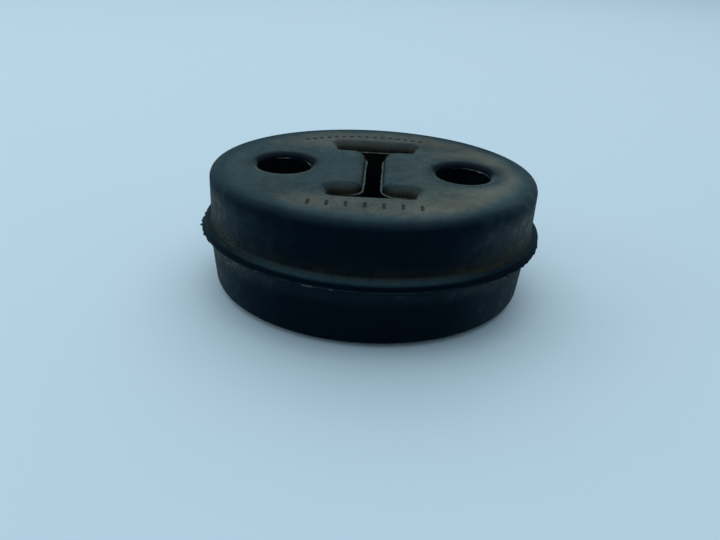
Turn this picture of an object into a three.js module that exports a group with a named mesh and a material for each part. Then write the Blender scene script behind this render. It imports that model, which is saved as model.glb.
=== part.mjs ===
// Exhaust hanger: an oval block of solid rubber, moulded in one piece.
// Two round bores take the hanger rods. An I-shaped slot between them leaves two tongues,
// one round each bore, inside a closed rim, so that the block can stretch along its length.
// Millimetres, +Z up. The origin is in the middle of the flat underside, X is the long axis.

import * as THREE from 'three';
import { mergeVertices } from 'three/addons/utils/BufferGeometryUtils.js';

// Block, as the two mould halves make it
const UPPER_HALF_HEIGHT = 12.9;
const LOWER_HALF_HEIGHT = 13.9;
const END_WALL = 9.8;               // rubber between a bore and the end of the oval
const RIM_WALL = 13.9;              // rubber between the slot and the side of the oval
const TOP_EDGE_RADIUS = 1.9;
const BOTTOM_EDGE_RADIUS = 3;
const UPPER_TAPER = 0.1;            // each half grows this much from its face to the joint
const LOWER_TAPER = 0.6;
const MOULD_MISMATCH = 0.4;         // the lower half sits this far towards -X

// Bores
const BORE_DIAMETER = 11.8;
const BORE_SPACING = 38.6;

// Slot: a stem along Y, and an arm along X across each end of it
const SLOT_REACH = 16.1;            // from the middle of the block to the far wall of an arm
const SLOT_ARM_GAP = 4.2;
const SLOT_ARM_LENGTH = 17.6;
const SLOT_STEM_GAP = 4.2;
const SLOT_END_RADIUS = 1.4;        // corners at the ends of the arms

// Every opening is rounded over at both faces, by a lip that is wider than it is deep
const BORE_LIP_WIDTH = 2.2;
const BORE_LIP_DEPTH = 0.9;
const SLOT_LIP_WIDTH = 2.3;
const SLOT_LIP_DEPTH = 1.8;
const TONGUE_CORNER_MARGIN = 0.9;   // what a tongue's corner keeps of its radius past the lip

// Collar round the joint of the mould halves, with flash at its lower edge and a flare below it
const COLLAR_PROJECTION = 1.7;
const COLLAR_EDGE_HEIGHT = 1.1;
const COLLAR_EDGE_RADIUS = 0.8;
const FLASH_PROJECTION = 0.6;       // what the flash adds to the collar's projection
const LEFT_FLASH_PROJECTION = 1.1;  // the same at the end towards -X, where it is longest
const LEFT_FLASH_SHARPNESS = 6;     // how soon the longer flash dies away from that end
const FLASH_HEIGHT = 0.4;
const FLARE_PROJECTION = 0.8;
const FLARE_HEIGHT = 2.3;

// Steps of the faceted surfaces
const OVAL_STEPS = 40;
const BORE_STEPS = 16;
const CORNER_STEPS = 2;
const EDGE_STEPS = 2;

// Sizes that follow
const BORE_RADIUS = BORE_DIAMETER / 2;
const HALF_LENGTH = BORE_SPACING / 2 + BORE_RADIUS + END_WALL;
const HALF_WIDTH = SLOT_REACH + RIM_WALL;
const BODY_HEIGHT = LOWER_HALF_HEIGHT + UPPER_HALF_HEIGHT;
const JOINT_Z = LOWER_HALF_HEIGHT;
const QUARTER_TURN = Math.PI / 2;

const RUBBER = new THREE.MeshStandardMaterial({ color: 0x2b3133, roughness: 0.72, metalness: 0 });

// Evenly spaced numbers from one value to another, both included.
function steps(from, to, count) {
  return Array.from({ length: count + 1 }, (_, i) => from + ((to - from) * i) / count);
}

// Loops: points with their outward directions, counterclockwise seen from above.
function ovalLoop(halfLength, halfWidth, count) {
  return steps(0, 2 * Math.PI, count).slice(0, -1).map((angle) => {
    const direction = new THREE.Vector2(halfWidth * Math.cos(angle), halfLength * Math.sin(angle));
    return {
      point: new THREE.Vector2(halfLength * Math.cos(angle), halfWidth * Math.sin(angle)),
      outward: direction.normalize(),
    };
  });
}

function circleLoop(centre, radius, count) {
  return ovalLoop(radius, radius, count).map(({ point, outward }) => ({
    point: point.add(centre),
    outward,
  }));
}

// A polygon whose corners are rounded. A corner that turns right is rounded the other way.
function roundedLoop(corners, arcSteps) {
  return corners.flatMap(({ x, y, radius }, i) => {
    const corner = new THREE.Vector2(x, y);
    const before = corners[(i + corners.length - 1) % corners.length];
    const after = corners[(i + 1) % corners.length];
    const incoming = corner.clone().sub(new THREE.Vector2(before.x, before.y)).normalize();
    const outgoing = new THREE.Vector2(after.x, after.y).sub(corner).normalize();
    const turn = Math.atan2(incoming.cross(outgoing), incoming.dot(outgoing));
    const side = Math.sign(turn);
    const toCentre = outgoing.clone().sub(incoming).normalize();
    const centre = corner.clone().addScaledVector(toCentre, radius / Math.cos(turn / 2));
    const firstAngle = incoming.angle() - QUARTER_TURN;
    return steps(firstAngle, firstAngle + turn, arcSteps).map((angle) => {
      const outward = new THREE.Vector2(Math.cos(angle), Math.sin(angle));
      return { point: centre.clone().addScaledVector(outward, side * radius), outward };
    });
  });
}

function slotLoop() {
  const stem = SLOT_STEM_GAP / 2;
  const end = SLOT_ARM_LENGTH / 2;
  const near = SLOT_REACH - SLOT_ARM_GAP;
  const tongueRadius = SLOT_LIP_WIDTH + TONGUE_CORNER_MARGIN;
  const quarter = [
    { x: stem, y: near, radius: tongueRadius },
    { x: end, y: near, radius: SLOT_END_RADIUS },
    { x: end, y: SLOT_REACH, radius: SLOT_END_RADIUS },
  ];
  const flipped = (signX, signY) => quarter.map((c) => ({ ...c, x: signX * c.x, y: signY * c.y }));
  return roundedLoop([
    ...flipped(1, 1),
    ...flipped(-1, 1).reverse(),
    ...flipped(-1, -1),
    ...flipped(1, -1).reverse(),
  ], CORNER_STEPS);
}

// A ring is a loop moved outwards by an offset and laid at a height. Where it faces -X it can
// be moved further.
function ring(loop, { offset, z, shift = 0, further = 0 }) {
  return loop.map(({ point, outward }) => {
    const reach = offset + further * Math.max(0, -outward.x) ** LEFT_FLASH_SHARPNESS;
    return new THREE.Vector3(point.x + outward.x * reach + shift, point.y + outward.y * reach, z);
  });
}

// Points on a quarter circle or less, between two angles in the plane of offset and height.
function arc(offset, z, radius, from, to) {
  return steps(from, to, EDGE_STEPS).map((angle) => ({
    offset: offset + radius * Math.cos(angle),
    z: z + radius * Math.sin(angle),
  }));
}

// The outside of the block, from its underside up to its top face.
function skinProfile() {
  const bottomCorner = arc(
    -LOWER_TAPER - BOTTOM_EDGE_RADIUS, BOTTOM_EDGE_RADIUS, BOTTOM_EDGE_RADIUS, -QUARTER_TURN, 0,
  );
  const lowerHalf = [
    ...bottomCorner,
    { offset: 0, z: JOINT_Z - FLARE_HEIGHT },
    { offset: FLARE_PROJECTION, z: JOINT_Z },
  ].map((point) => ({ ...point, shift: -MOULD_MISMATCH }));

  const edgeCentre = COLLAR_PROJECTION - COLLAR_EDGE_RADIUS;
  const edgeTop = JOINT_Z + COLLAR_EDGE_HEIGHT;
  const collarTop = edgeTop + COLLAR_EDGE_RADIUS;
  const creaseRadius = edgeCentre - UPPER_TAPER;
  const collar = [
    {
      offset: COLLAR_PROJECTION + FLASH_PROJECTION,
      z: JOINT_Z,
      further: LEFT_FLASH_PROJECTION - FLASH_PROJECTION,
    },
    { offset: COLLAR_PROJECTION, z: JOINT_Z + FLASH_HEIGHT },
    ...arc(edgeCentre, edgeTop, COLLAR_EDGE_RADIUS, 0, QUARTER_TURN),
    ...arc(edgeCentre, collarTop + creaseRadius, creaseRadius, -QUARTER_TURN, -2 * QUARTER_TURN)
      .slice(1),
  ];
  const topCorner = arc(
    -TOP_EDGE_RADIUS, BODY_HEIGHT - TOP_EDGE_RADIUS, TOP_EDGE_RADIUS, 0, QUARTER_TURN,
  );
  return [...lowerHalf, ...collar, ...topCorner];
}

// The wall of an opening, from the top face down to the underside. Each lip is a quarter ellipse.
function openingRings(loop, lipWidth, lipDepth) {
  const lip = arc(1, 0, 1, QUARTER_TURN, 2 * QUARTER_TURN)
    .map(({ offset, z }) => ({ offset: offset * lipWidth, depth: (1 - z) * lipDepth }));
  const topLip = lip.map(({ offset, depth }) => ({ offset, z: BODY_HEIGHT - depth }));
  const bottomLip = lip.map(({ offset, depth }) => ({ offset, z: depth })).reverse();
  return [...topLip, ...bottomLip].map((level) => ring(loop, level));
}

// Triangles between each ring and the next. The surface faces to the right of the loops
// as the rings climb, which is outwards, and into the opening as they go down.
function bands(rings) {
  return rings.slice(1).flatMap((upper, level) => {
    const lower = rings[level];
    return lower.flatMap((point, i) => {
      const next = (i + 1) % lower.length;
      return [point, lower[next], upper[next], point, upper[next], upper[i]];
    });
  });
}

// Triangles of a flat face inside one ring and outside all the holes, facing up or down.
function flatFace(outer, holes, facesUp) {
  const points = [outer, ...holes].flat();
  const flat = (loop) => loop.map(({ x, y }) => new THREE.Vector2(x, y));
  return THREE.ShapeUtils.triangulateShape(flat(outer), holes.map(flat)).flatMap((indices) => {
    const [a, b, c] = indices.map((index) => points[index]);
    const isUp = (b.x - a.x) * (c.y - a.y) > (b.y - a.y) * (c.x - a.x);
    return isUp === facesUp ? [a, b, c] : [a, c, b];
  });
}

function hangerGeometry() {
  const oval = ovalLoop(HALF_LENGTH, HALF_WIDTH, OVAL_STEPS);
  const skin = skinProfile().map((level) => ring(oval, level));
  const boreCentres = [-1, 1].map((side) => new THREE.Vector2((side * BORE_SPACING) / 2, 0));
  const bores = boreCentres.map((centre) => circleLoop(centre, BORE_RADIUS, BORE_STEPS));
  const openings = [
    ...bores.map((loop) => openingRings(loop, BORE_LIP_WIDTH, BORE_LIP_DEPTH)),
    openingRings(slotLoop(), SLOT_LIP_WIDTH, SLOT_LIP_DEPTH),
  ];
  const corners = [
    ...bands(skin),
    ...openings.flatMap(bands),
    ...flatFace(skin.at(-1), openings.map((rings) => rings.at(0)), true),
    ...flatFace(skin.at(0), openings.map((rings) => rings.at(-1)), false),
  ];
  const geometry = mergeVertices(new THREE.BufferGeometry().setFromPoints(corners));
  geometry.computeVertexNormals();
  return geometry;
}

const hanger = new THREE.Mesh(hangerGeometry(), RUBBER);
hanger.name = 'hanger_body';

const exhaustHanger = new THREE.Group();
exhaustHanger.add(hanger);

export default exhaustHanger;
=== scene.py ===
import math

import bmesh
import bpy
import numpy as np
from bpy.props import FloatProperty, FloatVectorProperty, IntProperty, PointerProperty
from mathutils import Matrix, Vector
from mathutils.geometry import delaunay_2d_cdt


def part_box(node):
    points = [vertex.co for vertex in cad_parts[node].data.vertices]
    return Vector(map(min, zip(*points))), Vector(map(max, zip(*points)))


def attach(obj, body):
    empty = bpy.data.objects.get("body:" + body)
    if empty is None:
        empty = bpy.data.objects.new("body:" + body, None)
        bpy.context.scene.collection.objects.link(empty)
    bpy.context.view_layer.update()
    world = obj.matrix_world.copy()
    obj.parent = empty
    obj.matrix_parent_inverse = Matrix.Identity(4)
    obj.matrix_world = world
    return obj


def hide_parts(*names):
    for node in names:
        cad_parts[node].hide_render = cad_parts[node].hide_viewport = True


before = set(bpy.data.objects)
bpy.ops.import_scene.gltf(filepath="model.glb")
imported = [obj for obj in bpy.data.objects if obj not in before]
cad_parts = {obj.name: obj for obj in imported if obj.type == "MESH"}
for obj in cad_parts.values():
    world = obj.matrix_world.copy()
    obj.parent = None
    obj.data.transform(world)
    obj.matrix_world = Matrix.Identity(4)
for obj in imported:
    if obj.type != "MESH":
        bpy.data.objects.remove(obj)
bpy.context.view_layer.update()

bl_info = {
    "name": "Exhaust hanger",
    "version": (1, 0, 0),
    "blender": (4, 5, 0),
    "location": "View3D > Sidebar > Hanger",
    "description": "Builds a weathered rubber exhaust hanger with two bores and a slot",
    "category": "Add Mesh",
}

MM = 0.001
CAD_NODE = "hanger_body"
CAD_LOW, CAD_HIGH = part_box(CAD_NODE)
QUARTER_TURN = math.pi / 2
MERGE_DISTANCE = 0.001 * MM

# Spots where the bloom is thicker or thinner: x, y and spread in millimetres, then the gain
BLOOM_PATCHES = (
    (7.0, 0.0, 5.0, -0.14),
    (22.5, 11.0, 6.0, -0.36),
    (29.0, 4.0, 4.5, -0.26),
    (-18.5, -15.0, 6.0, -0.27),
    (-11.5, 14.5, 4.0, 0.28),
    (8.5, -22.5, 3.0, 0.20),
    (6.0, 11.5, 3.0, 0.20),
    (11.5, -7.5, 4.0, -0.15),
)


def length(name, description, millimetres):
    """A length property, with its default given in millimetres."""
    return FloatProperty(
        name=name,
        description=description,
        default=millimetres * MM,
        min=0.0,
        precision=5,
        subtype="DISTANCE",
        unit="LENGTH",
    )


def colour(name, description, value):
    """A linear colour property."""
    return FloatVectorProperty(
        name=name, description=description, default=value, min=0.0, max=1.0, subtype="COLOR", size=3
    )


class HangerSizes(bpy.types.PropertyGroup):
    """Sizes of the moulded rubber block."""

    lower_half: length("Lower half", "Height of the mould joint above the underside", 13.9)
    top_edge: length("Top edge", "Radius round the top face", 1.9)
    bottom_edge: length("Bottom edge", "Radius round the underside", 3.0)
    upper_taper: length("Upper taper", "How much the upper half grows towards the joint", 0.1)
    lower_taper: length("Lower taper", "How much the lower half grows towards the joint", 0.6)
    mismatch: length("Mould mismatch", "How far the lower half sits towards -X", 0.4)
    bore: length("Bore", "Diameter of the bores for the hanger rods", 11.8)
    bore_spacing: length("Bore spacing", "Distance between the bores", 38.6)
    slot_reach: length("Slot reach", "From the middle to the far wall of an arm", 16.1)
    slot_arm_gap: length("Arm gap", "Width of the slot's arms", 4.2)
    slot_arm_length: length("Arm length", "Length of the slot's arms", 17.6)
    slot_stem_gap: length("Stem gap", "Width of the slot's stem", 4.2)
    slot_end: length("Arm corners", "Radius at the ends of the arms", 1.4)
    bore_lip: length("Bore lip", "How far the bores widen at both faces", 2.2)
    slot_lip: length("Slot lip", "How far the slot widens at both faces", 2.3)
    bore_lip_depth: length("Bore lip depth", "How deep the bores' rounding goes", 0.9)
    slot_lip_depth: length("Slot lip depth", "How deep the slot's rounding goes", 1.8)
    tongue_margin: length("Tongue margin", "What a tongue's corner keeps past the lip", 0.9)
    collar: length("Collar", "How far the collar stands out", 1.7)
    collar_edge: length("Collar edge", "Height of the collar's outer edge", 1.1)
    collar_round: length("Collar rounding", "Radius on top of the collar", 0.8)
    flare: length("Flare", "How far the lower half flares under the collar", 0.8)
    flare_height: length("Flare height", "Height of that flare", 2.3)
    flash: length("Flash", "Longest teeth of the flash round the collar", 0.6)
    left_flash: length("Left flash", "Longest teeth at the end towards -X", 1.1)
    lip_flash: length("Lip flash", "Height of the flash where a lip meets its wall", 0.5)
    waviness: length("Waviness", "How far the moulded walls stray from true", 0.05)
    mark_depth: length("Mark depth", "Depth of the plain engraved marks", 0.2)
    tick_length: length("Tick length", "Length of an engraved tick", 2.7)
    tick_width: length("Tick width", "Width of an engraved tick", 0.8)
    tick_pitch: length("Tick pitch", "Distance between ticks", 3.6)
    tick_gap: length("Tick gap", "Flat rubber between the ticks and the slot's lip", 1.3)
    dot: length("Dot", "Diameter of an engraved dot", 1.2)
    dot_pitch: length("Dot pitch", "Distance between dots", 1.9)
    dot_gap: length("Dot gap", "Flat rubber between the dots' middle and the slot's lip", 3.2)
    tick_count: IntProperty(name="Ticks", description="Number of ticks", default=7, min=2)
    dot_count: IntProperty(name="Dots", description="Number of dots", default=16, min=2)


class HangerColours(bpy.types.PropertyGroup):
    """Colours of the rubber and what lies on it, of its painted sky reflection, and of the stage."""

    rubber: colour("Rubber", "Clean black rubber", (0.0003, 0.0034, 0.0075))
    cool_bloom: colour("Cool bloom", "Bluish bloom on the top face", (0.040, 0.070, 0.079))
    # Painted reflection: the bluish sky reflection on the top face's rounded rim and on the collar's
    # painted highlight.
    painted_sky_reflection: colour("Thin bloom", "Bloom where it thins out at the rim", (0.010, 0.040, 0.062))
    warm_bloom: colour("Warm bloom", "Dusty bloom on the rims", (0.100, 0.113, 0.100))
    thin_dust: colour("Thin dust", "Blue of the walls where their dust is thin", (0.0023, 0.0145, 0.024))
    side_dust: colour("Side dust", "Dust on the upright walls", (0.124, 0.140, 0.138))
    warm_dust: colour("Warm dust", "The same near the mould joint", (0.124, 0.118, 0.101))
    grime: colour("Grime", "Road dirt in the creases", (0.022, 0.0215, 0.0145))
    flash: colour("Flash", "Pale worn flash", (0.130, 0.160, 0.140))
    floor: colour("Floor", "Pale floor", (0.475, 0.62, 0.73))


# Loops: points and outward directions, counterclockwise, one row for each point


def steps(start, end, count):
    """Evenly spaced values from start to end, both included, count of them after the first."""
    return np.linspace(start, end, count + 1)


def oval_loop(half_length, half_width, count, centre=(0.0, 0.0)):
    """Points (a cos t, b sin t), with the ellipse's normal (b cos t, a sin t) at each."""
    angle = np.arange(count) * 2 * np.pi / count
    points = np.stack([half_length * np.cos(angle), half_width * np.sin(angle)], 1)
    outward = np.stack([half_width * np.cos(angle), half_length * np.sin(angle)], 1)
    outward /= np.linalg.norm(outward, axis=1, keepdims=True)
    return points + centre, outward


def rounded_loop(corners, arc_steps, spacing):
    """A polygon with rounded corners (x, y, radius), then points spaced evenly along it.

    Each corner is an arc of its radius round a centre on the bisector, at radius / cos(turn / 2)
    from the corner. A right turn has its arc on the other side. The even points are worked out
    from the distance along the outline.
    """
    corners = np.asarray(corners)
    place, radius = corners[:, :2], corners[:, 2]
    incoming = place - np.roll(place, 1, 0)
    incoming /= np.linalg.norm(incoming, axis=1, keepdims=True)
    outgoing = np.roll(incoming, -1, 0)
    cross = incoming[:, 0] * outgoing[:, 1] - incoming[:, 1] * outgoing[:, 0]
    turn = np.arctan2(cross, (incoming * outgoing).sum(1))
    bisector = outgoing - incoming
    bisector /= np.linalg.norm(bisector, axis=1, keepdims=True)
    centre = place + bisector * (radius / np.cos(turn / 2))[:, None]
    first = np.arctan2(incoming[:, 1], incoming[:, 0]) - QUARTER_TURN
    angle = first[:, None] + turn[:, None] * steps(0, 1, arc_steps)
    outward = np.stack([np.cos(angle), np.sin(angle)], 2)
    points = centre[:, None] + outward * (np.sign(turn) * radius)[:, None, None]
    points, outward = points.reshape(-1, 2), outward.reshape(-1, 2)
    closed = np.vstack([points, points[:1]])
    along = np.append(0, np.cumsum(np.linalg.norm(np.diff(closed, axis=0), axis=1)))
    count = int(round(along[-1] / spacing))
    even = np.arange(count) * along[-1] / count
    columns = np.hstack([closed, np.vstack([outward, outward[:1]])])
    resampled = np.stack([np.interp(even, along, column) for column in columns.T], 1)
    outward = resampled[:, 2:] / np.linalg.norm(resampled[:, 2:], axis=1, keepdims=True)
    return resampled[:, :2], outward


def slot_loop(sizes):
    """The I-shaped slot: a stem along Y, an arm along X across each end, mirrored both ways."""
    stem, end = sizes.slot_stem_gap / 2, sizes.slot_arm_length / 2
    near = sizes.slot_reach - sizes.slot_arm_gap
    tongue = sizes.slot_lip + sizes.tongue_margin
    quarter = np.array([
        (stem, near, tongue), (end, near, sizes.slot_end), (end, sizes.slot_reach, sizes.slot_end),
    ])
    mirrored = quarter[::-1] * (-1, 1, 1)
    half = np.vstack([quarter, mirrored])
    return rounded_loop(np.vstack([half, half * (-1, -1, 1)]), arc_steps=12, spacing=0.3 * MM)


def slot_lip_widths(loop):
    """How much wider than its size the slot's lip is at each point of its loop.

    It is widest where the wall faces -Y, most of all on the back rim, and narrowest where the wall
    faces +Y, though less so in the middle of the front rim.
    """
    (x, y), facing = loop[0].T, loop[1][:, 1]
    back_rim = (y > 0) * (facing > 0)
    front_rim = (y < 0) * (facing < 0) * bell(x, -4 * MM, 8 * MM)
    return 0.89 + facing * (0.41 + 0.2 * back_rim - 0.17 * front_rim)


def ragged(count, teeth, seed, power=2):
    """Random heights from 0 to 1, one for each tooth, joined by straight lines round a loop."""
    heights = np.random.default_rng(seed).random(teeth) ** power
    place = np.arange(count) * teeth / count
    return np.interp(place, np.arange(teeth + 1), np.append(heights, heights[0]))


def wavy(count, seed):
    """A smooth wander from -1 to 1 round a loop: a sum of a few sines with random phases."""
    rng = np.random.default_rng(seed)
    angle = np.arange(count) * 2 * np.pi / count
    waves = np.arange(2, 9)
    sines = np.sin(waves[:, None] * angle + rng.uniform(0, 2 * np.pi, (len(waves), 1)))
    total = (sines / waves[:, None]).sum(0)
    return total / np.abs(total).max()


# Profiles: rows of offset from the loop, height, flash and waviness


def arc(offset, height, radius, start, end, count):
    """Points offset + r cos(angle), height + r sin(angle), between two angles."""
    angle = steps(start, end, count)
    zero = np.zeros(count + 1)
    return np.stack([offset + radius * np.cos(angle), height + radius * np.sin(angle), zero, zero], 1)


def skin_profile(sizes, top):
    """The outside, in two parts: the lower half, then the collar and the upper half.

    The flare under the collar is offset = flare times a power of the height. The collar's edge
    carries the flash, whose teeth start where the collar itself ends.
    """
    joint = sizes.lower_half
    bottom = arc(-sizes.lower_taper - sizes.bottom_edge, sizes.bottom_edge, sizes.bottom_edge,
                 -QUARTER_TURN, 0, 7)
    flare_start = joint - sizes.flare_height
    wall = steps(0, 1, 4)[1:-1]
    lower_wall = np.stack([
        sizes.lower_taper * (wall - 1), sizes.bottom_edge + wall * (flare_start - sizes.bottom_edge),
        0 * wall, 0 * wall + 1,
    ], 1)
    rise = steps(0, 1, 8)
    flare = np.stack([
        sizes.flare * rise ** 2.4, flare_start + rise * sizes.flare_height, 0 * rise, 1 - rise,
    ], 1)
    lower = np.vstack([bottom, lower_wall, flare])

    edge = sizes.collar
    edge_centre = edge - sizes.collar_round
    edge_top = joint + sizes.collar_edge
    collar_top = edge_top + sizes.collar_round
    crease = edge_centre - sizes.upper_taper
    root = 0.08 * MM
    flash = np.array([
        (edge, joint, 0, 0),
        (edge, joint + 0.5 * root, 0.8, 0),
        (edge, joint + root, 1, 0),
        (edge, joint + 2 * root, 0.7, 0),
        (edge, joint + 3 * root, 0, 0),
        (edge, joint + 6 * root, 0, 0),
    ])
    rounding = arc(edge_centre, edge_top, sizes.collar_round, 0, QUARTER_TURN, 7)
    hollow = arc(edge_centre, collar_top + crease, crease, -QUARTER_TURN, -2 * QUARTER_TURN, 8)[1:]
    start, stop = collar_top + crease, top - sizes.top_edge
    upper_wall = np.stack([
        sizes.upper_taper * (1 - wall), start + wall * (stop - start), 0 * wall, 0 * wall + 1,
    ], 1)
    corner = arc(-sizes.top_edge, stop, sizes.top_edge, 0, QUARTER_TURN, 10)
    return lower, np.vstack([flash, rounding, hollow, upper_wall, corner])


def opening_profile(lip, depth, top):
    """An opening from the top face down to the underside: lip, flash, wall, flash, lip.

    Each lip is a quarter of an ellipse, as wide as the lip and as deep as its depth.
    """
    lip_arc = arc(lip, 0, lip, QUARTER_TURN, 2 * QUARTER_TURN, 12)
    upper = lip_arc * (1, depth / lip, 1, 1) + (0, top - depth, 0, 0)
    lower = (lip_arc * (1, -depth / lip, 1, 1) + (0, depth, 0, 0))[::-1]
    drop = np.array([0.04, 0.12, 0.22, 0.36]) * MM
    fin = np.array([-0.4, -1, -0.8, 0])
    upper_fin = np.stack([0 * drop, top - depth - drop, fin, 0 * drop], 1)
    wall = np.stack([np.zeros(3), steps(top - depth, depth, 4)[1:-1], np.zeros(3), np.ones(3)], 1)
    lower_fin = np.stack([0 * drop, depth + drop, fin, 0 * drop], 1)[::-1]
    return np.vstack([upper, upper_fin, wall, lower_fin, lower])


class Shell:
    """Vertices (x, y, z, flash) and faces of one surface, gathered patch by patch."""

    def __init__(self):
        self.vertices = []
        self.faces = []
        self.count = 0

    def add(self, vertices, faces):
        self.vertices.append(vertices)
        self.faces.extend((np.asarray(faces) + self.count).tolist())
        self.count += len(vertices)

    def add_band(self, rings):
        """Quads between each ring and the next, from an array of rings, points, values."""
        levels, around = rings.shape[:2]
        index = np.arange(levels * around).reshape(levels, around)
        near, far = index[:-1], index[1:]
        quads = np.stack([near, np.roll(near, -1, 1), np.roll(far, -1, 1), far], 2)
        self.add(rings.reshape(-1, rings.shape[2]), quads.reshape(-1, 4))

    def to_object(self, name):
        """A mesh object, with the patches merged along their shared loops."""
        mesh = bpy.data.meshes.new(name)
        vertices = np.vstack(self.vertices)
        mesh.from_pydata(vertices[:, :3].tolist(), [], self.faces)
        flash = mesh.attributes.new("flash", "FLOAT", "POINT")
        flash.data.foreach_set("value", vertices[:, 3].astype(np.float32))
        welded = bmesh.new()
        welded.from_mesh(mesh)
        bmesh.ops.remove_doubles(welded, verts=welded.verts, dist=MERGE_DISTANCE)
        bmesh.ops.recalc_face_normals(welded, faces=welded.faces)
        loose = [edge for edge in welded.edges if not edge.is_manifold]
        if loose:
            raise RuntimeError(f"{name} has {len(loose)} open edges")
        welded.to_mesh(mesh)
        welded.free()
        mesh.shade_smooth()
        mesh.set_sharp_from_angle(angle=math.radians(50))
        piece = bpy.data.objects.new(name, mesh)
        bpy.context.scene.collection.objects.link(piece)
        return piece


def rings_of(loop, profile, fins=0.0, paleness=0.0, wave=0.0, shift=0.0, widen=1.0):
    """Rings (levels, points, 4): each profile row carried round the loop.

    A point is loop + outward * (offset * widen + flash share * fins + waviness * wave). The last
    number is how pale the flash is there: its share times the paleness.
    """
    points, outward = loop
    offset, height, flash, wander = (column[:, None] for column in profile.T)
    straight = np.zeros(len(points))
    reach = offset * widen + flash * fins + wander * wave + straight
    flat = points + outward * reach[:, :, None] + (shift, 0)
    height = np.broadcast_to(height, reach.shape)
    return np.dstack([flat, height, np.abs(flash) * paleness + straight])


def inside(points, loop):
    """True for each point that an odd number of the loop's edges pass to the right of."""
    x, y = points[:, :1], points[:, 1:2]
    x0, y0 = loop.T
    x1, y1 = np.roll(loop, -1, 0).T
    crosses = (y0 > y) != (y1 > y)
    run = np.where(y1 == y0, 1, y1 - y0)
    return (crosses & (x < x0 + (y - y0) * (x1 - x0) / run)).sum(1) % 2 == 1


def flat_face(outer, holes, spacing, seed):
    """Triangles of a flat face inside one ring and outside the holes, with a scatter of points.

    The scatter is a square grid with each point moved at random. The triangles are the constrained
    Delaunay triangles of all the points whose middle lies in the face.
    """
    rings = [outer, *holes]
    low, high = outer[:, :2].min(0), outer[:, :2].max(0)
    lines = [np.arange(start, end, spacing) for start, end in zip(low, high)]
    grid = np.stack(np.meshgrid(*lines), 2).reshape(-1, 2)
    grid = grid + np.random.default_rng(seed).uniform(-0.3, 0.3, grid.shape) * spacing
    edge_points = np.vstack(rings)[:, :2]
    kept = inside(grid, outer[:, :2])
    for hole in holes:
        kept &= ~inside(grid, hole[:, :2])
    grid = grid[kept]
    gap = np.linalg.norm(grid[:, None] - edge_points[None], axis=2).min(1)
    grid = grid[gap > 0.4 * spacing]
    points = np.vstack([edge_points, grid])
    starts = np.cumsum([0] + [len(ring) for ring in rings])
    edges = np.vstack([
        np.stack([start + np.arange(len(ring)), start + np.roll(np.arange(len(ring)), -1)], 1)
        for start, ring in zip(starts, rings)
    ])
    # The triangulation works to a fixed tolerance, so it is given millimetres.
    found = delaunay_2d_cdt((points / MM).tolist(), edges.tolist(), [], 0, 1e-6)
    flat = np.array([tuple(point) for point in found[0]]) * MM
    triangles = np.array(found[2])
    middle = flat[triangles].mean(1)
    kept = inside(middle, outer[:, :2])
    for hole in holes:
        kept &= ~inside(middle, hole[:, :2])
    height = np.full((len(flat), 1), outer[0, 2])
    return np.hstack([flat, height, 0 * height]), triangles[kept]


def mark_loops(sizes, half_length, half_width):
    """A straight row of ticks towards -Y, and dots along an inner oval towards +Y."""
    row_y = -(sizes.slot_reach + sizes.slot_lip + sizes.tick_gap + sizes.tick_length / 2)
    row_shift, corner = -1.0 * MM, 0.3 * MM
    half_tick = (sizes.tick_width / 2, sizes.tick_length / 2)
    side = np.array([(-1, -1), (1, -1), (1, 1), (-1, 1)]) * half_tick
    places = row_shift + (np.arange(sizes.tick_count) - (sizes.tick_count - 1) / 2) * sizes.tick_pitch
    ticks = [
        rounded_loop(np.hstack([side + (x, row_y), np.full((4, 1), corner)]), 4, 0.12 * MM)
        for x in places
    ]
    row_width = sizes.slot_reach + sizes.slot_lip + sizes.dot_gap + sizes.dot / 2
    row_length = half_length - (half_width - row_width)
    spread = sizes.dot_pitch * (sizes.dot_count - 1) / 2 / row_length
    angles = math.radians(97) + steps(spread, -spread, sizes.dot_count - 1)
    dots = [
        oval_loop(sizes.dot / 2, sizes.dot / 2, 24, (row_length * math.cos(a), row_width * math.sin(a)))
        for a in angles
    ]
    return ticks + dots


def mark_profile(sizes, top):
    """A shallow pocket whose edges are eased: its offset shrinks as it goes down."""
    share = np.array([(0, 0), (-0.04, 0.1), (-0.07, 0.45), (-0.13, 0.85), (-0.22, 1)])
    zero = np.zeros(len(share))
    return np.stack([share[:, 0] * MM, top - share[:, 1] * sizes.mark_depth, zero, zero], 1)


def bump_of(loop, direction, spread):
    """1 where the loop faces a direction, fading as a bell curve of the angle, in degrees."""
    outward = loop[1]
    angle = np.degrees(np.arctan2(outward[:, 1], outward[:, 0]))
    apart = (angle - direction + 180) % 360 - 180
    return np.exp(-((apart / spread) ** 2))


def bell(value, middle, spread, power=2):
    """1 at the middle, falling as exp(-|(value - middle) / spread| to the power)."""
    return np.exp(-np.abs((value - middle) / spread) ** power)


def smooth(value, low, high):
    """0 at low, 1 at high and a smooth rise between, t t (3 - 2 t). It falls where low > high."""
    t = np.clip((value - low) / (high - low), 0, 1)
    return t * t * (3 - 2 * t)


def store(piece, name, values):
    """Keeps one number for each vertex, for the material to read."""
    attribute = piece.data.attributes.new(name, "FLOAT", "POINT")
    attribute.data.foreach_set("value", values.astype(np.float32))


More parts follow.
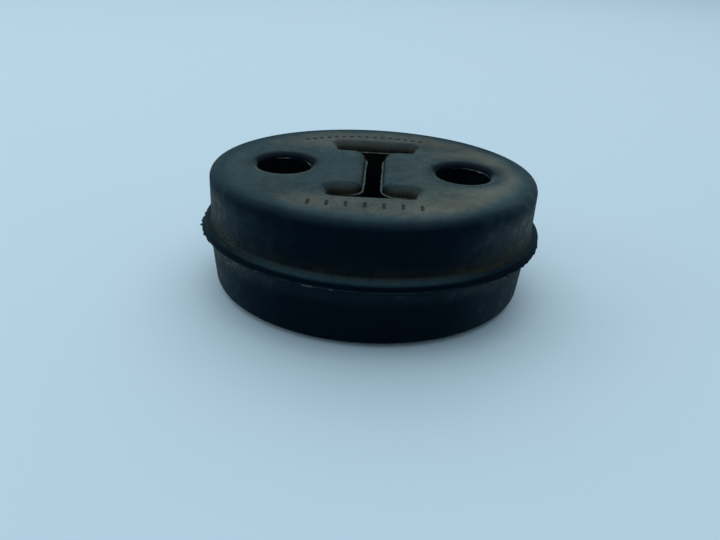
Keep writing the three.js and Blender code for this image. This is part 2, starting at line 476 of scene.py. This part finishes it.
def store_weathering(piece, sizes, half_length, half_width, top):
    """Where bloom, dust, grime and painted light and shade go, from each vertex's place and direction.

    Bloom lies on what faces up, and is warmer on the rims, in the slot's arms and towards +X. The
    same mask carries painted light and shade: it thins towards the rim, where a painted bluish sky
    reflection shows instead, and faster on the rounded rim as painted edge shading; it thins down
    the lips as painted shade, most where their surface turns towards -Y; on the collar's rounded
    top it is a painted highlight. It is also thinner in the marks. Dust on the walls grows towards
    both ends of the oval as a power of x, which also paints the walls' grazing sheen there, with a
    band under the collar that is dust and also the painted floor light on the flare. The collar's
    upright edge is left bare, except towards -X, as clean rubber and painted shade. Grime fills the
    crease above the collar, thinning out up the wall as a bell curve of the height, and lies in the
    bores, in the slot's arms and down their lips, where on the lips that turn towards -Y it is also
    painted shade. Flecks of flash lie near the joint, and the lips that face -Y have a pale crest,
    which is a painted highlight.
    """
    mesh = piece.data
    place = np.zeros(len(mesh.vertices) * 3)
    mesh.vertices.foreach_get("co", place)
    x, y, z = place.reshape(-1, 3).T
    normals = np.zeros(len(mesh.vertices) * 3)
    mesh.vertex_normals.foreach_get("vector", normals)
    _, back, up = normals.reshape(-1, 3).T
    oval = np.hypot(x / half_length, y / half_width)
    rim_gap = (1 - oval) * half_width
    bore_gap = np.hypot(np.abs(x) - sizes.bore_spacing / 2, y) - sizes.bore / 2
    depth = top - z
    slot_margin = 1.4 * sizes.slot_lip
    by_slot = np.abs(y) < sizes.slot_reach + slot_margin
    by_slot &= np.abs(x) < sizes.slot_arm_length / 2 + slot_margin
    in_bore = bore_gap < 1.1 * sizes.bore_lip
    clean_bore = smooth(bore_gap, 0.4 * MM, 3 * MM)
    on_top = depth < sizes.top_edge
    lip_depth = np.where(in_bore, sizes.bore_lip_depth, sizes.slot_lip_depth)
    # How far a vertex is down the quarter ellipse of its lip, from 0 at the face to 1 at the wall
    down_lip = np.sqrt(1 - (1 - np.clip(depth / lip_depth, 0, 1)) ** 2)
    down_lip *= (rim_gap > 4 * MM) * (by_slot | in_bore)
    # Painted shade: on the top face, the lips whose surface turns towards -Y, away from the light at the
    # back, get less bloom further down the lip by the shade below; off the top face this is 1.
    shaded_side = np.where(on_top, smooth(-back, 0.0, 0.12) * (down_lip > 0), 1)
    around = np.degrees(np.arctan2(y / half_width, x / half_length))
    # Painted edge shading: on the rounded rim of the top face the bloom falls off sooner with the slope.
    rounding = (rim_gap < 2.2 * MM) * on_top
    open_bloom = smooth(up, 0.05 + 0.2 * rounding, 0.8 + 0.1 * rounding)
    bloom_and_painted_light = open_bloom * (1 - shaded_side) + smooth(up, 0.1, 1.1) * shaded_side
    # Painted shade down the lips, deepest at the foot of the slot's lips and a little deeper in the back
    # arm.
    bore_shade = 0.95 * smooth(down_lip, -0.2, 0.75)
    slot_shade = (0.42 + 0.08 * (y > 0)) * smooth(down_lip, 0, 0.2) + 0.28 * smooth(down_lip, 0.6, 1.0)
    shade = np.where(in_bore, bore_shade, slot_shade)
    bloom_and_painted_light *= (1 - shade * shaded_side) * (z > sizes.lower_half)
    # Painted reflection: the bloom thins within a few millimetres of the rim so that the bluish sky
    # reflection shows there.
    rim_fade = smooth(rim_gap, 0.3 * MM, 4.5 * MM)
    right = smooth(x, 4 * MM, 28 * MM) * smooth(bore_gap, 1.5 * MM, 5.5 * MM)
    # Painted highlight: off the top face the bloom is the collar's rounded top catching light, strongest
    # at the front and faint at both ends.
    collar_highlight = 0.12 + 0.33 * bell(around, -90, 38, 6)
    bloom_and_painted_light *= np.where(on_top, 0.15 + (0.85 + 0.45 * right) * rim_fade, collar_highlight)
    bloom_and_painted_light *= 0.6 + 0.4 * clean_bore
    bloom_and_painted_light *= 1 - (0.1 + 0.22 * smooth(x, 4 * MM, 14 * MM)) * smooth(y, 11 * MM, 17 * MM)
    bloom_and_painted_light *= 1 - 0.27 * bell(around, -48, 14) * smooth(rim_gap, 15 * MM, 8 * MM)
    bare_rim = bell(around, -47, 14) + bell(around, -122, 10)
    bloom_and_painted_light *= 1 - 0.35 * bare_rim * smooth(rim_gap, 3.5 * MM, 0.5 * MM) * on_top
    bloom_and_painted_light *= 1 + 0.12 * bell(around, -25, 22) * bell(rim_gap, 6 * MM, 4 * MM) * on_top
    for patch_x, patch_y, spread, gain in BLOOM_PATCHES:
        bloom_and_painted_light *= 1 + gain * bell(np.hypot(x - patch_x * MM, y - patch_y * MM), 0, spread * MM)
    marks = ~(by_slot | in_bore) * (rim_gap > 1.3 * sizes.top_edge) * (depth < 1 * MM)
    marks = marks * smooth(depth, 0, sizes.mark_depth)
    bloom_and_painted_light *= 1 - 0.62 * marks
    # Where the painted bluish sky reflection goes: near the top face's rim, and at 1.6 off the top face,
    # which tints the collar's painted highlight blue.
    store(piece, "rim", np.where(on_top, smooth(rim_gap, 6 * MM, 2 * MM), 1.6))
    # This mask is real bloom on the top face together with the painted shade, highlight and rim
    # reflection worked into it above.
    store(piece, "bloom_and_painted_light", bloom_and_painted_light)
    front_rim = smooth(-y, 13 * MM, 20 * MM) * smooth(x, -27 * MM, -7 * MM)
    rim_start = 13 * MM + 0.3 * np.clip(x, -12 * MM, 8 * MM)
    rims = front_rim + smooth(y, rim_start, rim_start + 6 * MM) * smooth(x, -34 * MM, -10 * MM)
    arm = smooth(np.abs(y), 9.5 * MM, 11.5 * MM) * smooth(np.abs(x), 1.5 * MM, 3.0 * MM)
    arm_lip = np.maximum(arm, smooth(np.abs(y), 14.5 * MM, 16 * MM))
    in_arm = arm_lip * smooth(down_lip, 0.5, 0.9)
    warmth = np.clip(0.8 * rims + 1.2 * right + 0.7 * in_arm, 0, 1)
    # Kept cool near the rim so that the painted sky reflection stays blue.
    warmth *= smooth(rim_gap, 2.0 * MM, 6.5 * MM)
    outside = rim_gap < 2 * MM
    over_joint = z - sizes.lower_half
    # The band under the collar is dust and also paints the light that the downward-facing flare catches
    # from the floor.
    band = bell(over_joint, -1.9 * MM, 1.6 * MM)
    band = band * (0.1 + 0.28 * bell(around, -42, 13) + 0.16 * bell(around, -137, 12))
    from_joint = smooth(over_joint, -0.1 * MM, 0.1 * MM)
    # The collar's upright edge is kept free of dust except towards -X: clean rubber there, and painted
    # shade under the collar's rounding.
    edge = from_joint * smooth(over_joint, 2.0 * MM, 1.3 * MM) * smooth(x, -34 * MM, -26 * MM)
    on_collar = from_joint * smooth(over_joint, 2.4 * MM, 2.0 * MM)
    above_joint = over_joint > 0
    # Dust towards both ends of the oval; this brightening towards the left and right silhouettes also
    # paints the walls' grazing sheen.
    ends = np.abs(x / half_length) ** (6 - above_joint * (x < 0)) * (1 + 0.35 * (x > 0))
    ends = ends + 0.12 * bell(around, -40, 15)
    ends *= (1 - 0.85 * on_collar) * (0.35 + 0.65 * smooth(depth, 1.5 * MM, 4.5 * MM))
    ends *= np.where(above_joint, 0.88 + 0.55 * smooth(over_joint, 3 * MM, 9 * MM), 1 - 0.22 * (x > 0))
    near_joint = bell(over_joint, 0.5 * MM, 5 * MM) * (1 - on_collar)
    store(piece, "warmth", np.where(on_top, warmth, near_joint))
    store(piece, "dust", outside * (1 - edge) * np.tanh(ends + 1.2 * band + 0.03))
    under, over = bell(over_joint, -1.8 * MM, 1.0 * MM), bell(over_joint, 3.2 * MM, 1.3 * MM)
    store(piece, "flecks", outside * bell(around, -143, 8) * (under + 0.5 * over))
    collar_top = sizes.lower_half + sizes.collar_edge + sizes.collar_round
    creep = (1.6 + 1.0 * bell(around, -38, 14) + 0.6 * bell(around, -152, 12)) * MM
    above = (z - collar_top - 0.4 * MM) / np.where(z > collar_top, creep, 0.3 * MM)
    crease = np.exp(-(above ** 2)) * outside * smooth(rim_gap, -1.0 * MM, -0.4 * MM)
    crease *= 0.55 + 0.75 * bell(around, -48, 22) + 0.3 * bell(around, -150, 12)
    pocket = smooth(depth, 0.9 * MM, 2.0 * MM) * arm * (rim_gap > 9 * MM)
    in_bore_wall = (bore_gap < 0.3 * MM) * smooth(depth, 1.0 * MM, 2.5 * MM)
    # Grime down the arms' lips where their surface turns towards -Y, which also paints shade there;
    # thinner at the foot, where the bare black rubber is deeper painted shade.
    lip_grime_and_shade = arm_lip * smooth(down_lip, 0.35, 0.9) * smooth(-back, 0.0, 0.2) * (z > sizes.lower_half)
    lip_grime_and_shade *= 1 - 0.35 * smooth(down_lip, 0.75, 1.0)
    store(piece, "grime", 0.9 * crease + pocket + 0.5 * in_bore_wall + 0.9 * lip_grime_and_shade)
    # Painted highlight: a pale crest along the lips, stored with the flash's paleness and drawn in the
    # flash colour.
    crest = smooth(down_lip, 0.1, 0.4) * smooth(down_lip, 1.0, 0.8) * smooth(back, 0.0, 0.2)
    flash = piece.data.attributes["flash"].data
    paleness = np.zeros(len(flash))
    flash.foreach_get("value", paleness)
    flash.foreach_set("value", (paleness + 0.35 * crest * (z > sizes.lower_half)).astype(np.float32))


class Number:
    """A number socket in a material, for sums, products and masks written as expressions."""

    def __init__(self, tree, socket):
        self.tree = tree
        self.socket = socket

    def _math(self, operation, first, second=0.0, clamp=False):
        settings = {"operation": operation, "use_clamp": clamp}
        return self.tree.make("ShaderNodeMath", settings, {0: first, 1: second})

    def __add__(self, other):
        return self._math("ADD", self, other)

    def __radd__(self, other):
        return self._math("ADD", other, self)

    def __sub__(self, other):
        return self._math("SUBTRACT", self, other)

    def __rsub__(self, other):
        return self._math("SUBTRACT", other, self)

    def __mul__(self, other):
        return self._math("MULTIPLY", self, other)

    def __rmul__(self, other):
        return self._math("MULTIPLY", other, self)

    def __pow__(self, other):
        return self._math("POWER", self, other)

    def clamped(self):
        return self._math("ADD", self, 0.0, clamp=True)

    def ramp(self, low, high):
        """0 at low, 1 at high, smooth between."""
        settings = {"interpolation_type": "SMOOTHSTEP"}
        return self.tree.make("ShaderNodeMapRange", settings, {0: self, 1: low, 2: high})


class MaterialTree:
    """The nodes of one material, with one method that makes them."""

    def __init__(self, name):
        self.material = bpy.data.materials.new(name)
        self.material.use_nodes = True
        self.material.node_tree.nodes.clear()

    def make(self, kind, settings=None, inputs=None, output=0):
        """Makes a node, sets its settings, feeds its sockets, and returns one output."""
        tree = self.material.node_tree
        node = tree.nodes.new(kind)
        for name, value in (settings or {}).items():
            setattr(node, name, value)
        for key, value in (inputs or {}).items():
            if isinstance(value, Number):
                tree.links.new(value.socket, node.inputs[key])
            else:
                node.inputs[key].default_value = value
        return Number(self, node.outputs[output]) if node.outputs else node

    def noise(self, place, scale, detail=3.0, roughness=0.5, distortion=0.0):
        inputs = {"Vector": place, "Scale": scale / MM, "Detail": detail, "Roughness": roughness,
                  "Distortion": distortion}
        return self.make("ShaderNodeTexNoise", {}, inputs, "Fac")

    def mix(self, mask, first, second):
        """First where the mask is 0 and second where it is 1, both colours."""
        colours = [v if isinstance(v, Number) else (*v, 1.0) for v in (first, second)]
        inputs = {0: mask, 6: colours[0], 7: colours[1]}
        return self.make("ShaderNodeMix", {"data_type": "RGBA"}, inputs, 2)


def rubber_material(colours):
    """Black rubber with bloom on top, dust on the walls, grime in the creases and pale flash,
    with painted shade, highlights and a bluish sky reflection carried in the same masks.

    Each layer is mixed over the one before by its stored attribute, broken up by four noises.
    """
    tree = MaterialTree("weathered_rubber")
    place = tree.make("ShaderNodeTexCoord", output="Object")
    bloom_and_painted_light, rim, warmth, dust, grime, flash, flecks = (
        tree.make("ShaderNodeAttribute", {"attribute_name": name}, output="Fac")
        for name in ("bloom_and_painted_light", "rim", "warmth", "dust", "grime", "flash", "flecks")
    )
    broad = tree.noise(place, 0.09, 3.0, 0.55)
    patchy = tree.noise(place, 0.45, 5.0, 0.6)
    fine = tree.noise(place, 2.2, 4.0, 0.6)
    grain = tree.noise(place, 9.0, 2.0, 0.5)

    warm = (warmth + (broad - 0.5) * 0.9 + (patchy - 0.5) * 0.5 + (fine - 0.5) * 0.5).clamped()
    bloom_colour = tree.mix(warm, tuple(colours.cool_bloom), tuple(colours.warm_bloom))
    cover = 0.76 + (broad - 0.5) * 0.3 + (patchy - 0.5) * 0.55 + (fine - 0.5) * 0.9
    coverage = (bloom_and_painted_light * cover).clamped()
    settled = 0.8 + (patchy - 0.5) * 0.8 + (fine - 0.5) * 0.8 + patchy.ramp(0.5, 0.8) * 0.6
    walls = (dust * settled).clamped()
    base = tree.mix((walls * 4.5).clamped(), tuple(colours.rubber), tuple(colours.thin_dust))
    side_colour = tree.mix(warmth, tuple(colours.side_dust), tuple(colours.warm_dust))
    side_colour = tree.mix(fine.ramp(0.35, 0.65) * 0.35, side_colour, tuple(colours.thin_dust))
    base = tree.mix((walls ** 1.55).clamped() * 0.95, base, side_colour)
    # Painted sky reflection where the rim mask is high: the top face's rim and the collar's painted
    # highlight.
    base = tree.mix((coverage * rim * 0.9).clamped(), base, tuple(colours.painted_sky_reflection))
    base = tree.mix(coverage, base, bloom_colour)
    dirt = (grime * (0.2 + patchy.ramp(0.35, 0.7) * 0.5 + fine.ramp(0.45, 0.65) * 0.4)).clamped()
    base = tree.mix(dirt, base, tuple(colours.grime))
    specks = fine.ramp(0.68, 0.76) * (0.05 + bloom_and_painted_light * 0.2)
    base = tree.mix(specks, base, tuple(colours.warm_bloom))
    # The flash mask also carries the lips' painted crest highlight, drawn in the flash colour.
    worn = (flash * (0.35 + fine.ramp(0.4, 0.6) * 0.8) + flecks * fine.ramp(0.53, 0.6) * 0.8).clamped()
    base = tree.mix(worn, base, tuple(colours.flash))

    roughness = 0.62 + coverage * 0.2 + (fine - 0.5) * 0.2 + dirt * 0.12
    height = grain * 0.35 + fine * 0.5 + patchy * 0.6
    bump = tree.make("ShaderNodeBump", {}, {"Strength": 0.35, "Distance": 0.06 * MM, "Height": height})
    surface = tree.make("ShaderNodeBsdfPrincipled", {}, {
        "Base Color": base,
        "Roughness": roughness,
        "Specular IOR Level": 0.02,
        "Normal": bump,
    })
    tree.make("ShaderNodeOutputMaterial", {}, {"Surface": surface})
    return tree.material


def floor_material(colours):
    """Plain pale floor with the faintest mottling."""
    tree = MaterialTree("pale_floor")
    place = tree.make("ShaderNodeTexCoord", output="Object")
    mottle = tree.noise(place, 0.02, 2.0, 0.5)
    pale = tuple(colours.floor)
    shade = tree.mix(mottle * 0.12, pale, tuple(0.9 * value for value in pale))
    surface = tree.make("ShaderNodeBsdfPrincipled", {}, {
        "Base Color": shade, "Roughness": 0.6, "Specular IOR Level": 0.25,
    })
    tree.make("ShaderNodeOutputMaterial", {}, {"Surface": surface})
    return tree.material


class HANGER_OT_rubber_block(bpy.types.Operator):
    """Build the moulded rubber block with its bores, slot, collar, flash and marks"""

    bl_idname = "hanger.rubber_block"
    bl_label = "Rubber Block"

    def execute(self, context):
        sizes, colours = context.scene.hanger_sizes, context.scene.hanger_colours
        top = CAD_HIGH.z
        reach = sizes.collar + sizes.flash
        half_length, half_width = CAD_HIGH.x - reach, CAD_HIGH.y - reach
        around = 1200
        skin_loop = oval_loop(half_length, half_width, around)
        left = np.clip(1.6 * bump_of(skin_loop, 177, 30), 0, 1)
        right = bump_of(skin_loop, 325, 16)
        flecks = smooth(ragged(around, 130, 5), 0.72, 0.95)
        fine_teeth = ragged(around, 270, 3, 1)
        short_fins = 0.1 + 0.2 * fine_teeth + 0.5 * right * ragged(around, 200, 4) + 0.3 * flecks
        narrow_teeth = bump_of(skin_loop, 315, 9) * ragged(around, 170, 1, 1) ** 4
        long_fins = np.maximum(left * (0.35 + 0.65 * fine_teeth), narrow_teeth)
        fins = np.maximum(sizes.flash * np.clip(short_fins, 0, 1), sizes.left_flash * long_fins)
        pale = 0.6 * flecks * (1 - left)
        wave = sizes.waviness * wavy(around, 11)
        lower, upper = skin_profile(sizes, top)
        skin = np.vstack([
            rings_of(skin_loop, lower, wave=wave, shift=-sizes.mismatch),
            rings_of(skin_loop, upper, fins, pale, wave),
        ])
        shell = Shell()
        shell.add_band(skin)

        bores = [
            oval_loop(sizes.bore / 2, sizes.bore / 2, 160, (side * sizes.bore_spacing / 2, 0))
            for side in (-1, 1)
        ]
        slot = slot_loop(sizes)
        loops = [*bores, slot]
        bore_lip = (sizes.bore_lip, sizes.bore_lip_depth)
        lips = [bore_lip, bore_lip, (sizes.slot_lip, sizes.slot_lip_depth)]
        shares = [
            0.02 + 1.2 * bump_of(bores[0], 101, 14) + 1.1 * bump_of(bores[0], 25, 20),
            0.04 + 0.9 * bump_of(bores[1], 50, 38),
            0.15 + 0.85 * smooth(-np.abs(slot[0][:, 0] - 1.3 * MM), -6.3 * MM, -4 * MM),
        ]
        openings = []
        for seed, (loop, lip, share) in enumerate(zip(loops, lips, shares)):
            count = len(loop[0])
            evenness = 0.7 if loop is slot else 0.5
            fins = share * (evenness + (1 - evenness) * ragged(count, count // 4, 20 + seed))
            profile = opening_profile(*lip, top)
            wave = 0.4 * sizes.waviness * wavy(count, seed)
            widen = slot_lip_widths(loop) if loop is slot else 1.0
            rings = rings_of(loop, profile, sizes.lip_flash * fins, fins, wave, widen=widen)
            openings.append(rings)
            shell.add_band(rings)

        marks = []
        for loop in mark_loops(sizes, half_length, half_width):
            rings = rings_of(loop, mark_profile(sizes, top))
            marks.append(rings)
            shell.add_band(rings)
            shell.add(rings[-1], [np.arange(rings.shape[1])])

        shell.add(*flat_face(skin[-1], [rings[0] for rings in openings + marks], 1.3 * MM, 7))
        shell.add(*flat_face(skin[0], [rings[-1] for rings in openings], 2.4 * MM, 8))
        piece = shell.to_object("rubber_block")
        store_weathering(piece, sizes, half_length, half_width, top)
        piece.data.materials.append(rubber_material(colours))
        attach(piece, "root")
        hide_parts(CAD_NODE)
        return {"FINISHED"}


def add_camera(position, yaw, pitch, roll, lens):
    """A camera that looks along (sin yaw cos pitch, cos yaw cos pitch, -sin pitch), then rolled."""
    reach = math.cos(pitch)
    forward = Vector((math.sin(yaw) * reach, math.cos(yaw) * reach, -math.sin(pitch)))
    level = Vector((math.cos(yaw), -math.sin(yaw), 0))
    down = forward.cross(level)
    right = math.cos(roll) * level + math.sin(roll) * down
    up = math.sin(roll) * level - math.cos(roll) * down
    data = bpy.data.cameras.new("photo_camera")
    data.lens = lens
    data.sensor_width = 36.0
    data.clip_start = 0.01
    camera = bpy.data.objects.new("photo_camera", data)
    turned = Matrix((right, up, -forward)).transposed().to_4x4()
    camera.matrix_world = Matrix.Translation(position) @ turned
    bpy.context.scene.collection.objects.link(camera)
    bpy.context.scene.camera = camera


def add_area_light(name, position, target, size, energy, tint):
    """A square soft light aimed from a position at a target."""
    data = bpy.data.lights.new(name, "AREA")
    data.size = size
    data.energy = energy
    data.color = tint
    lamp = bpy.data.objects.new(name, data)
    lamp.location = position
    aim = (Vector(target) - Vector(position)).to_track_quat("-Z", "Y")
    lamp.rotation_euler = aim.to_euler()
    bpy.context.scene.collection.objects.link(lamp)


class HANGER_OT_stage(bpy.types.Operator):
    """Add the floor, the lights, the world and the camera"""

    bl_idname = "hanger.stage"
    bl_label = "Stage"

    def execute(self, context):
        scene = context.scene
        side = 3.0
        corners = [(-side, -side, 0), (side, -side, 0), (side, side, 0), (-side, side, 0)]
        mesh = bpy.data.meshes.new("floor")
        mesh.from_pydata(corners, [], [(0, 1, 2, 3)])
        floor = bpy.data.objects.new("floor", mesh)
        scene.collection.objects.link(floor)
        mesh.materials.append(floor_material(scene.hanger_colours))

        centre = (0, 0, 0.01)
        add_area_light("overhead_light", (-0.05, 0.28, 0.87), centre, 1.6, 9.8, (1.0, 0.99, 0.98))
        add_area_light("left_light", (-0.7, -0.1, 0.3), centre, 0.4, 0.9, (0.9, 0.96, 1.0))

        world = bpy.data.worlds.new("studio")
        world.use_nodes = True
        background = world.node_tree.nodes["Background"]
        background.inputs["Color"].default_value = (0.74, 0.93, 1.0, 1.0)
        background.inputs["Strength"].default_value = 0.44
        scene.world = world
        scene.view_settings.view_transform = "Standard"

        position = Vector((1.87, -132.16, 73.03)) * MM
        add_camera(position, yaw=-0.0284, pitch=0.4955, roll=-0.0505, lens=32.1)
        return {"FINISHED"}


class VIEW3D_PT_hanger(bpy.types.Panel):
    """Sidebar panel of the exhaust hanger"""

    bl_label = "Exhaust Hanger"
    bl_idname = "VIEW3D_PT_hanger"
    bl_space_type = "VIEW_3D"
    bl_region_type = "UI"
    bl_category = "Hanger"

    def draw(self, context):
        layout = self.layout
        for operator in (HANGER_OT_rubber_block, HANGER_OT_stage):
            layout.operator(operator.bl_idname)
        for group in (context.scene.hanger_sizes, context.scene.hanger_colours):
            for name in group.__annotations__:
                layout.prop(group, name)


CLASSES = (HangerSizes, HangerColours, HANGER_OT_rubber_block, HANGER_OT_stage, VIEW3D_PT_hanger)


def register():
    for cls in CLASSES:
        bpy.utils.register_class(cls)
    bpy.types.Scene.hanger_sizes = PointerProperty(type=HangerSizes)
    bpy.types.Scene.hanger_colours = PointerProperty(type=HangerColours)


def unregister():
    del bpy.types.Scene.hanger_colours
    del bpy.types.Scene.hanger_sizes
    for cls in reversed(CLASSES):
        bpy.utils.unregister_class(cls)


def main():
    register()
    bpy.ops.hanger.rubber_block()
    bpy.ops.hanger.stage()


if __name__ == "__main__":
    main()
